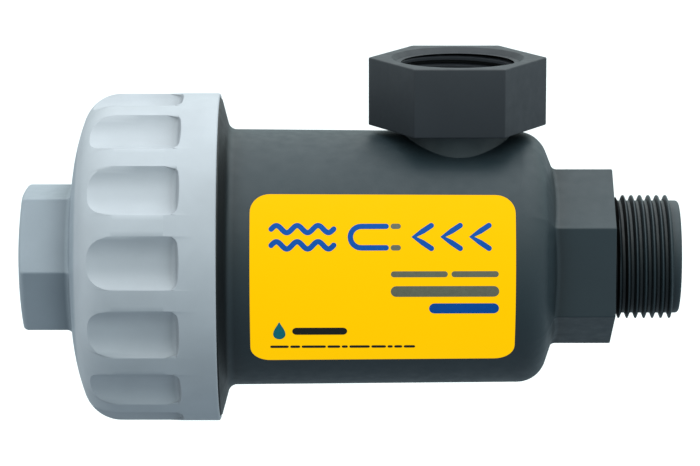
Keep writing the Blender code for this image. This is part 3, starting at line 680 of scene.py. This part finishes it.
def make_housing():
    columns = columns_with_corners(168, (-1.3, -0.62, -0.31, 0.0, 0.31, 0.62, 1.3))
    housing = add_object("housing_shell", columns_mesh(columns, housing_line, on_body_axis))
    neck = add_object("neck_tool", columns_mesh(even_columns(144), neck_line, on_union_axis))
    bore_bottom, above_neck = AXIS_Z + 20.0, 0.0
    chamfer_r = NECK_BORE_R + 0.4
    bore = turned(
        "neck_bore_tool",
        [
            (0.0, bore_bottom),
            (NECK_BORE_R, bore_bottom),
            (NECK_BORE_R, NECK_TOP - 0.3),
            (chamfer_r, NECK_TOP + 0.1),
            (chamfer_r, above_neck),
            (0.0, above_neck),
        ],
        on_union_axis,
    )
    apply_booleans(housing, ((neck, "UNION"), (bore, "DIFFERENCE")))
    finish_piece(housing, "root", "body_plastic", "housing")


# ---- Label -----------------------------------------------------------------------------------
def on_label(x, up, lift):
    """A place on the barrel's front: up is the distance round the skin from the middle line."""
    r = barrel_radius(x)
    return on_body_axis(r + lift, math.radians(FRONT_DEG) - up / r, x)


def sheet_on_label(stations, across, lift, thickness):
    """A thin solid on the barrel's front. Each station is a list of (x, up) points."""
    bm = bmesh.new()
    rows = []
    for station in stations:
        layers = []
        for height in (lift, lift + thickness):
            layers.append([bm.verts.new(on_label(x, up, height)) for x, up in station])
        rows.append(layers)
    for (low, high), (next_low, next_high) in zip(rows, rows[1:]):
        for step in range(across):
            bm.faces.new((low[step], low[step + 1], next_low[step + 1], next_low[step]))
            bm.faces.new((high[step], high[step + 1], next_high[step + 1], next_high[step]))
        for side in (0, across):
            bm.faces.new((low[side], high[side], next_high[side], next_low[side]))
    for low, high in (rows[0], rows[-1]):
        for step in range(across):
            bm.faces.new((low[step], low[step + 1], high[step + 1], high[step]))
    return bm


def make_label():
    length = LABEL_RIGHT - LABEL_LEFT
    straight = length - 2 * LABEL_CORNER
    corner_parts, middle_parts, across = 10, 24, 64
    turns = [math.pi / 2 * part / corner_parts for part in range(corner_parts)]
    near = [LABEL_CORNER * (1 - math.cos(turn)) for turn in turns]
    middle = [LABEL_CORNER + straight * part / middle_parts for part in range(middle_parts + 1)]
    stations = []
    for along in (*near, *middle, *[length - offset for offset in reversed(near)]):
        into_corner = max(LABEL_CORNER - min(along, length - along), 0.0)
        pulled_in = LABEL_CORNER - math.sqrt(max(LABEL_CORNER**2 - into_corner**2, 0.0))
        x = LABEL_LEFT + along
        half = math.radians(LABEL_HALF_DEG) * barrel_radius(x) - pulled_in
        stations.append([(x, half * (2 * step / across - 1)) for step in range(across + 1)])
    sheet = sheet_on_label(stations, across, LABEL_LIFT, LABEL_THICK)
    label = add_object("label_sheet", sheet)
    # Its painted glow lights nothing else: the label is hidden from diffuse and glossy rays.
    label.visible_glossy = label.visible_diffuse = False
    finish_piece(label, "root", "label_vinyl", "label")


def ribbon(points, widths):
    """Stations of (x, up) across a line of the given width at each point, with round ends."""
    across, cap_parts = 4, 5
    path = [Vector(point) for point in points]
    last = len(path) - 1
    heading = [path[min(i + 1, last)] - path[max(i - 1, 0)] for i in range(last + 1)]
    spots = []
    for end in (0, -1):
        outward = heading[end].normalized() * (-1 if end == 0 else 1)
        half = widths[end] / 2.0
        cap = []
        for part in range(1, cap_parts + 1):
            turn = math.pi / 2 * part / cap_parts
            point = path[end] + outward * half * math.sin(turn)
            cap.append((point, heading[end], half * math.cos(turn)))
        spots.append(cap)
    line = [(point, way, width / 2.0) for point, way, width in zip(path, heading, widths)]
    shares = [2 * step / across - 1 for step in range(across + 1)]
    stations = []
    for point, way, half in (*reversed(spots[0]), *line, *spots[1]):
        side = Vector((-way.y, way.x)).normalized() * half
        stations.append([tuple(point + side * share) for share in shares])
    return stations, across


def even_stroke(place_at, parts, width):
    """Points at even steps of place_at's share from 0 to 1, all of one width."""
    points = [place_at(part / parts) for part in range(parts + 1)]
    return points, [width] * len(points)


def bar(start, end, up, width):
    return even_stroke(lambda share: (start + (end - start) * share, up), 8, width)


def wave(start, up, width):
    length, rise, crests = 13.0, 0.75, 3

    def place_at(share):
        return start + length * share, up + rise * math.sin(share * crests * FULL_TURN)

    return even_stroke(place_at, 72, width)


def chevron(tip, up, width):
    length, rise = 3.6, 2.4
    points = [(tip + length * abs(side), up + rise * side) for side in (1.0, 0.5, 0.0, -0.5, -1.0)]
    return points, [width] * len(points)


def horseshoe(middle, up, bend_r, width):
    """A magnet's bend round its middle, with both arms to the right."""
    elbow, end = middle + 2.6, middle + 5.2
    points = [(end, up + bend_r), (elbow, up + bend_r)]
    for part in range(13):
        turn = math.radians(90.0 + 180.0 * part / 12)
        points.append((middle + bend_r * math.cos(turn), up + bend_r * math.sin(turn)))
    points += [(elbow, up - bend_r), (end, up - bend_r)]
    return points, [width] * len(points)


def drop(middle, top):
    length, parts = 2.9, 12
    points = [(middle, top - length * (part / parts)) for part in range(parts + 1)]
    widths = [
        0.25 + 2.35 * math.sin(math.pi / 2 * (part / parts) ** 1.1) for part in range(parts + 1)
    ]
    return points, widths


def print_strokes():
    """The label's generic graphics: (name, ink, strokes); each stroke is (points, widths)."""
    left, line, middle, bend_r = -39.3, 1.15, 9.75, 2.25
    chevrons = [chevron(tip, middle, line) for tip in (-9.6, -3.6, 2.4)]
    poles = [bar(-13.9, -12.9, up, line) for up in (middle + bend_r, middle - bend_r)]
    waves = [wave(left, up, line) for up in (middle + 1.7, middle - 1.7)]
    small = []
    start, thin, gap = left, 0.7, 0.3
    for length in (4.2, 2.4, 5.4, 3.0, 1.6, 4.6, 3.4, 1.4, 2.0, 2.7):
        small.append(bar(start, start + length - thin - gap, -15.0, thin))
        start += length
    return [
        ("print_chevrons", "ink_blue", chevrons),
        ("print_magnet", "ink_blue", [horseshoe(-20.6, middle, bend_r, line)]),
        ("print_magnet_poles", "ink_grey", poles),
        ("print_waves", "ink_blue", waves),
        ("print_title", "ink_grey", [bar(-13.8, -3.2, 2.0, 1.25), bar(-1.2, 7.4, 2.0, 1.25)]),
        ("print_bold_line", "ink_grey", [bar(-13.3, 7.0, -1.65, 2.3)]),
        ("print_accent_line", "ink_blue", [bar(-5.3, 7.0, -5.4, 2.3)]),
        ("print_drop", "ink_teal", [drop(-37.7, -8.7)]),
        ("print_maker_line", "ink_dark", [bar(-34.1, -24.4, -10.8, 1.8)]),
        ("print_small_line", "ink_dark", small),
    ]


def make_print():
    lift = LABEL_LIFT + LABEL_THICK + PRINT_GAP
    for name, ink_name, strokes in print_strokes():
        bm = bmesh.new()
        for points, widths in strokes:
            stations, across = ribbon(points, widths)
            stroke = sheet_on_label(stations, across, lift, PRINT_THICK)
            mesh = bpy.data.meshes.new("stroke")
            stroke.to_mesh(mesh)
            stroke.free()
            bm.from_mesh(mesh)
            bpy.data.meshes.remove(mesh)
        finish_piece(add_object(name, bm), "root", "label_vinyl", look=ink_name)


# ---- Union -----------------------------------------------------------------------------------
def nut_line(angle):
    outside_r = hexagon_radius(angle, NUT_FLATS, NUT_HEX_ROUND)
    minor = G34["major"] - G34["depth"]
    room_r, lip_r, lip_top = 13.4, 11.7, NUT_BOTTOM + 2.2
    start = (room_r, lip_top + 2.0)
    outside = rounded(
        [
            start,
            (room_r, lip_top, 0.3, 2),
            (lip_r, lip_top, 0.2, 2),
            (lip_r, NUT_BOTTOM, 0.3, 2),
            (outside_r, NUT_BOTTOM, 0.3, 3),
            (outside_r, NUT_TOP, 0.3, 3),
            (NUT_MOUTH_R, NUT_TOP, 0.2, 3),
            (G34["major"] - 0.05, NUT_TOP - 1.05),
        ]
    )
    ends = (-0.4, NUT_TOP - 1.1)
    inside = thread_line(angle, FEMALE_THREAD, G34, minor, NUT_THREAD_CREST, ends, (0.9, 0.02))
    return [*outside, *reversed(inside), (minor, -0.6), (room_r, -1.4), start]


def make_union():
    columns = columns_with_corners(144, (-1.3, -0.7, -0.35, 0.0, 0.35, 0.7, 1.3))
    nut = add_object("nut_shell", columns_mesh(columns, nut_line, on_union_axis))
    finish_piece(nut, "swivel_nut", "nut_plastic", "union_nut")

    gasket_in, gasket_out = 8.9, 11.8
    gasket = turned(
        "gasket_ring",
        [
            (gasket_in, -1.0),
            (gasket_in, GASKET_BOTTOM, 0.15, 2),
            (gasket_out, GASKET_BOTTOM, 0.15, 2),
            (gasket_out, 0.0, 0.15, 2),
            (gasket_in, 0.0, 0.15, 2),
            (gasket_in, -1.0),
        ],
        on_union_axis,
    )
    finish_piece(gasket, "root", "seal_rubber", "union_gasket")

    clip_low, clip_high = box_mm("union_nut_clip")
    clip_z = (clip_low.z + clip_high.z) / 2
    clip = make_round_ring("clip_ring", 11.55, clip_z, 0.8, on_union_axis, (17.0, 343.0))
    finish_piece(clip, "root", "stainless", "union_nut_clip")


# ---- Cap -------------------------------------------------------------------------------------
def cap_columns():
    """Angles round the cap: close together over each scallop, and at the boss's corners."""
    pitch = 360.0 / SCALLOPS
    gap = pitch - 2 * SCALLOP_HALF_DEG
    degrees = []
    for scallop in range(SCALLOPS):
        centre = FRONT_DEG - SCALLOP_FIRST_DEG + pitch * scallop
        degrees += [centre + SCALLOP_HALF_DEG * step / 9 for step in range(-9, 10)]
        side = centre + SCALLOP_HALF_DEG
        degrees += [side + gap * share for share in (0.03, 0.25, 0.5, 0.75, 0.97)]
    for corner in HEX_CORNERS_DEG:
        for offset in (-2.0, -0.9, -0.45, 0.0, 0.45, 0.9, 2.0):
            degrees.append(BOSS_FIRST_CORNER_DEG + corner + offset)
    return closed_columns(degrees)


def dome_height(r, centre):
    """Where the dome is along the body axis, from its own centre of curvature."""
    return centre - math.sqrt(CAP_DOME_ROUND**2 - max(r - CAP_DOME_FLAT_R, 0.0) ** 2)


def crown_height(r):
    """Where the boss's shallow dome is along the body axis."""
    return BOSS_END + r**2 / (2 * BOSS_CROWN_ROUND)


def cap_outside(angle):
    """The cap's skin at one angle, from the boss's centre to the rim."""
    boss_r = hexagon_radius(angle, BOSS_FLATS, BOSS_HEX_ROUND, math.radians(BOSS_FIRST_CORNER_DEG))
    torus_r = CAP_RIDGE_R - CAP_SHOULDER_ROUND
    reach = CAP_DOME_ROUND - CAP_SHOULDER_ROUND
    outwards = torus_r - CAP_DOME_FLAT_R
    centre = CAP_SHOULDER + math.sqrt(reach**2 - outwards**2)
    join = math.asin(outwards / reach)
    crown_r = boss_r - 2.5 * BOSS_EDGE_ROUND
    crown = [(crown_r * part / 8, crown_height(crown_r * part / 8)) for part in range(9)]
    foot_r = boss_r + BOSS_FOOT_REACH
    line = rounded(
        [
            *crown,
            (boss_r, crown_height(boss_r), BOSS_EDGE_ROUND, 8),
            (boss_r, dome_height(boss_r, centre), BOSS_FOOT_ROUND, 8),
            (foot_r, dome_height(foot_r, centre)),
        ]
    )
    tangent_r = CAP_DOME_FLAT_R + CAP_DOME_ROUND * math.sin(join)
    for part in range(1, 9):
        r = foot_r + (tangent_r - foot_r) * part / 9
        line.append((r, dome_height(r, centre)))

    pitch = math.radians(360.0 / SCALLOPS)
    first = math.radians(FRONT_DEG - SCALLOP_FIRST_DEG)
    off = abs((angle - first + pitch / 2) % pitch - pitch / 2) / math.radians(SCALLOP_HALF_DEG)
    inside = max(1.0 - off**SCALLOP_FULLNESS, 0.0)
    floor_r = CAP_RIDGE_R
    wall_top, wall_run = SCALLOP_RIGHT - 0.6, 2.6
    if inside > 0.0:
        floor_r = SCALLOP_EDGE_R - (SCALLOP_DEPTH - CAP_RIDGE_R + SCALLOP_EDGE_R) * inside
        wall_top = SCALLOP_RIGHT - SCALLOP_WALL_BOW * off**2 - SCALLOP_WALL_CORNER * off**10
        wall_run = (CAP_BAND_R - floor_r) * SCALLOP_WALL_SLOPE
    start_turn = -math.pi / 2 + join
    end_turn = -math.acos((floor_r - torus_r) / CAP_SHOULDER_ROUND)
    for part in range(15):
        turn = start_turn + (end_turn - start_turn) * part / 14
        r = torus_r + CAP_SHOULDER_ROUND * math.cos(turn)
        line.append((r, CAP_SHOULDER + CAP_SHOULDER_ROUND * math.sin(turn)))

    wall_foot = wall_top - wall_run
    left_end = line[-1]
    body = rounded(
        [
            left_end,
            (floor_r, (left_end[1] + wall_foot) / 2),
            (floor_r, wall_foot, 1.3, 7),
            (CAP_BAND_R, wall_top, 0.22, 3),
            (CAP_BAND_R, -55.0),
            (CAP_BAND_R, CAP_RIM, 0.8, 5),
            (34.2, CAP_RIM, 0.1, 1),
            (34.2, CAP_RIM - 1.3, 0.1, 1),
            (31.7, CAP_RIM - 1.3, 0.1, 1),
            (31.7, CAP_RIM - 2.0),
            (CAP_THREAD_R, CAP_THREAD_MOUTH),
        ]
    )
    return [*line, *body[1:]]


def cap_line(angle):
    """The cap's whole outline at one angle, from the boss's centre to the pocket's floor."""
    ends = (-62.0, CAP_THREAD_MOUTH)
    thread = thread_line(
        angle, WIDE_TRAPEZOID, CAP_THREAD, CAP_THREAD_R, CAP_THREAD["crest"], ends, (1.4, 0.02)
    )
    seal_r = 29.35
    hub_r, hub_root, hub_end = 10.0, -80.6, -70.0
    snap_r, snap_left, snap_right = 9.0, -75.2, -73.2
    pocket_r, pocket_floor = 7.2, -84.0
    inside = rounded(
        [
            (CAP_THREAD_R, -62.1),
            (seal_r, -62.4),
            (seal_r, -68.6, 0.2, 2),
            (28.3, -69.0, 0.2, 2),
            (28.1, -73.4, 2.0, 3),
            (24.6, -78.4, 3.0, 4),
            (13.0, hub_root, 1.0, 2),
            (hub_r, hub_root, 0.5, 2),
            (hub_r, snap_left, 0.15, 1),
            (snap_r, snap_left, 0.2, 2),
            (snap_r, snap_right, 0.2, 2),
            (hub_r, snap_right, 0.15, 1),
            (hub_r, hub_end, 0.5, 3),
            (pocket_r, hub_end, 0.2, 2),
            (pocket_r, pocket_floor, 0.3, 2),
            (0.0, pocket_floor),
        ]
    )
    return [*cap_outside(angle), *reversed(thread), *inside]


def make_cap():
    cap = add_object("cap_shell", columns_mesh(cap_columns(), cap_line, on_body_axis), 38.0)
    finish_piece(cap, "screw_cap", "cap_plastic", "cap")
    seal = make_round_ring("cap_seal_ring", 27.975, -64.0, 1.075, on_body_axis)
    finish_piece(seal, "root", "seal_rubber", "cap_o_ring")
    hole_r, skin_r, left, right = 4.3, 6.9, -83.7, -70.3
    insert = turned(
        "cap_insert_bush",
        [
            (hole_r, -77.0),
            (hole_r, left, 0.2, 2),
            (skin_r, left, 0.2, 2),
            (skin_r, right, 0.2, 2),
            (hole_r, right, 0.4, 2),
            (hole_r, -77.0),
        ],
    )
    finish_piece(insert, "screw_cap", "brass", "cap_insert")


# ---- Magnet bar and strainer -----------------------------------------------------------------
def make_magnet_bar():
    tube_r, bore_r, play = 6.5, 5.8, 0.3
    tube = turned(
        "magnet_tube_skin",
        [
            (bore_r, 0.0),
            (bore_r, TUBE_LEFT, 0.1, 1),
            (tube_r, TUBE_LEFT, 0.25, 3),
            (tube_r, TUBE_RIGHT, 0.12, 2),
            (bore_r, TUBE_RIGHT, 0.1, 1),
            (bore_r, 0.0),
        ],
    )
    finish_piece(tube, "screw_cap", "stainless", "magnet_tube")
    tip_low, tip_high = box_mm("magnet_tip_plug")
    plug_r = bore_r - play
    tip = turned(
        "magnet_tip",
        [
            (0.0, tip_low.x),
            (plug_r, tip_low.x, 0.2, 2),
            (plug_r, TUBE_RIGHT + play, 0.1, 1),
            (tube_r, TUBE_RIGHT + play, 0.12, 2),
            (tube_r, tip_high.x, 2.3, 8),
            (0.0, tip_high.x),
        ],
    )
    finish_piece(tip, "screw_cap", "stainless", "magnet_tip_plug")
    # The magnets, pole pieces and stud plug are shut in, so they keep their CAD shapes.
    looks = (("magnet_stud", "brass"), ("pole_piece", "pole_steel"), ("magnet_", "magnet_nickel"))
    for name, node in frame["nodes"].items():
        for start, look in looks:
            if name.startswith(start) and name not in ("magnet_tube", "magnet_tip_plug"):
                node.data.materials.clear()
                node.data.materials.append(MATERIALS[look])
                break


def perforated_tube(radius, wall, low, high, around, along):
    """A thin tube with an eight-sided hole in every cell of a regular grid."""
    hole, weld = 0.30, 0.0005  # in cells, and in millimetres
    edge = [(-0.5, -0.5), (0.0, -0.5), (0.5, -0.5), (0.5, 0.0)]
    edge += [(-u, -v) for u, v in edge]
    turns = [math.radians(225.0 + 45.0 * corner) for corner in range(8)]
    rim = [(hole * math.cos(turn), hole * math.sin(turn)) for turn in turns]
    bm = bmesh.new()

    def ring(shell_r, outline, row, column):
        places = []
        for u, v in outline:
            angle = (column + 0.5 + u) * (FULL_TURN / around)
            places.append((shell_r, angle, low + (row + 0.5 + v) * ((high - low) / along)))
        return [bm.verts.new(on_body_axis(*place)) for place in places]

    for row in range(along):
        for column in range(around):
            outer_edge, outer_rim = (ring(radius, line, row, column) for line in (edge, rim))
            inner_edge, inner_rim = (ring(radius - wall, line, row, column) for line in (edge, rim))
            bands = ((outer_edge, outer_rim), (inner_rim, inner_edge), (outer_rim, inner_rim))
            for side in range(8):
                after = (side + 1) % 8
                for first, second in bands:
                    bm.faces.new((first[side], first[after], second[after], second[side]))
    bmesh.ops.remove_doubles(bm, verts=bm.verts, dist=weld)
    open_edges = [side for side in bm.edges if side.is_boundary]
    middle = (low + high) / 2
    bmesh.ops.bridge_loops(bm, edges=[side for side in open_edges if side.verts[0].co.x < middle])
    bmesh.ops.bridge_loops(bm, edges=[side for side in open_edges if side.verts[0].co.x > middle])
    return bm


def make_strainer():
    holes = perforated_tube(18.0, 0.5, MESH_LEFT, MESH_RIGHT, around=44, along=32)
    screen = add_object("strainer_screen", holes, 40.0)
    finish_piece(screen, "cartridge", "stainless", "strainer_mesh")
    snap_r, step_r, cup_in, cup_out, guide_r = 9.3, 10.4, 18.3, 19.8, 23.4
    foot = turned(
        "strainer_foot_ring",
        [
            (snap_r, -74.2),
            (snap_r, -74.9, 0.15, 1),
            (cup_out, -74.9, 0.6, 3),
            (cup_out, -65.5, 0.2, 2),
            (guide_r, -65.5, 0.3, 2),
            (guide_r, -64.0, 0.3, 2),
            (cup_in, -64.0, 0.2, 2),
            (cup_in, -72.5, 0.2, 2),
            (step_r, -72.5, 0.2, 2),
            (step_r, -73.5, 0.1, 1),
            (snap_r, -73.5, 0.15, 1),
            (snap_r, -74.2),
        ],
        count=128,
    )
    finish_piece(foot, "cartridge", "strainer_plastic", "strainer_foot")
    bore_r, groove_r, plug_r = 7.8, 9.4, 11.4
    collar = turned(
        "strainer_collar_ring",
        [
            (bore_r, 15.0),
            (bore_r, 10.0, 0.4, 3),
            (cup_in, 10.0, 0.1, 1),
            (cup_in, 5.0, 0.2, 2),
            (cup_out, 5.0, 0.3, 2),
            (cup_out, 12.0, 0.6, 3),
            (plug_r, 12.0, 0.3, 2),
            (plug_r, 19.8, 0.1, 1),
            (groove_r, 19.8, 0.2, 2),
            (groove_r, 22.2, 0.2, 2),
            (plug_r, 22.2, 0.1, 1),
            (plug_r, 26.5, 0.7, 3),
            (bore_r, 26.5, 0.2, 2),
            (bore_r, 15.0),
        ],
        count=128,
    )
    finish_piece(collar, "cartridge", "strainer_plastic", "strainer_collar")
    seal = make_round_ring("strainer_seal_ring", 10.6, 21.0, 0.9, on_body_axis)
    finish_piece(seal, "cartridge", "seal_rubber", "strainer_o_ring")


# ---- Stage -----------------------------------------------------------------------------------
WORLD_STOPS = (  # from straight down to straight up
    (0.0, (0.24, 0.29, 0.33)),
    (0.25, (0.30, 0.385, 0.43)),
    (0.50, (0.49, 0.565, 0.60)),
    (0.625, (0.64, 0.80, 0.80)),
    (0.75, (1.10, 1.21, 1.20)),
    (1.0, (2.15, 2.32, 2.36)),
)
WORLD_LEFT, WORLD_RIGHT = 0.80, 1.14


def make_stage():
    floor_drop, floor_half = 420.0, 9000.0
    bm = bmesh.new()
    bmesh.ops.create_grid(bm, x_segments=8, y_segments=8, size=floor_half)
    bmesh.ops.translate(bm, verts=bm.verts, vec=(0.0, 0.0, AXIS_Z - floor_drop))
    floor = add_object("floor", bm)
    n = Nodes("pale_floor")
    body = n.ramp(n.noise(3.0, 3.0), (0.3, (0.80, 0.80, 0.80)), (0.7, (0.82, 0.82, 0.82)))
    n.finish(body, Roughness=0.8)
    floor.data.materials.append(MATERIALS["pale_floor"])
    floor.visible_diffuse = floor.visible_glossy = False


def make_world():
    """A soft studio: brightest overhead, dark below, a little brighter on the right.

    The camera itself sees plain white.
    """
    world = bpy.data.worlds.new("soft_studio")
    bpy.context.scene.world = world
    world.use_nodes = True
    tree = world.node_tree
    new, link = tree.nodes.new, tree.links.new
    place = new("ShaderNodeTexCoord")
    split = new("ShaderNodeSeparateXYZ")
    link(place.outputs["Generated"], split.inputs["Vector"])
    rise = new("ShaderNodeMapRange")
    rise.inputs["From Min"].default_value = -1.0
    link(split.outputs["Z"], rise.inputs["Value"])
    ramp = new("ShaderNodeValToRGB")
    link(rise.outputs["Result"], ramp.inputs["Fac"])
    fill_ramp(ramp, WORLD_STOPS)
    across = new("ShaderNodeMapRange")
    across.inputs["From Min"].default_value = -1.0
    across.inputs["To Min"].default_value = WORLD_LEFT
    across.inputs["To Max"].default_value = WORLD_RIGHT
    link(split.outputs["X"], across.inputs["Value"])
    background = tree.nodes["Background"]
    link(ramp.outputs["Color"], background.inputs["Color"])
    link(across.outputs["Result"], background.inputs["Strength"])
    backdrop = new("ShaderNodeBackground")
    backdrop.inputs["Color"].default_value = (1.0, 1.0, 1.0, 1.0)
    seen = new("ShaderNodeMixShader")
    path = new("ShaderNodeLightPath")
    link(path.outputs["Is Camera Ray"], seen.inputs["Fac"])
    link(background.outputs["Background"], seen.inputs[1])
    link(backdrop.outputs["Background"], seen.inputs[2])
    link(seen.outputs["Shader"], tree.nodes["World Output"].inputs["Surface"])


def make_left_light():
    """A small soft box low on the cap's side, which fills the dome."""
    data = bpy.data.lights.new("left_box", "AREA")
    data.shape = "RECTANGLE"
    data.size, data.size_y = 120.0 * MM, 160.0 * MM
    data.energy = 0.036
    data.color = (0.93, 0.98, 1.0)
    light = bpy.data.objects.new("left_box", data)
    light.location = Vector((BOSS_END - 120.0, -30.0, AXIS_Z - 20.0)) * MM
    target = Vector((BOSS_END, 0.0, AXIS_Z)) * MM
    light.rotation_euler = (target - light.location).to_track_quat("-Z", "Y").to_euler()
    bpy.context.scene.collection.objects.link(light)


def make_camera():
    """A long lens a little above the object, looking slightly down at it."""
    data = bpy.data.cameras.new("camera")
    data.sensor_width = 36.0
    data.lens = 198.2
    data.clip_start, data.clip_end = 50.0 * MM, 60000.0 * MM
    camera = bpy.data.objects.new("camera", data)
    camera.location = Vector((-23.515, -809.97, AXIS_Z + 172.15)) * MM
    pitch, yaw, roll = math.radians(11.648), math.radians(0.044), math.radians(-0.011)
    look = Matrix.Rotation(-yaw, 3, "Z") @ Matrix.Rotation(math.radians(90.0) - pitch, 3, "X")
    camera.rotation_euler = (look @ Matrix.Rotation(roll, 3, "Z")).to_euler()
    bpy.context.scene.collection.objects.link(camera)
    bpy.context.scene.camera = camera


make_housing()
make_label()
make_print()
make_union()
make_cap()
make_magnet_bar()
make_strainer()
make_stage()
make_world()
make_left_light()
make_camera()
bpy.context.scene.view_settings.view_transform = "Standard"
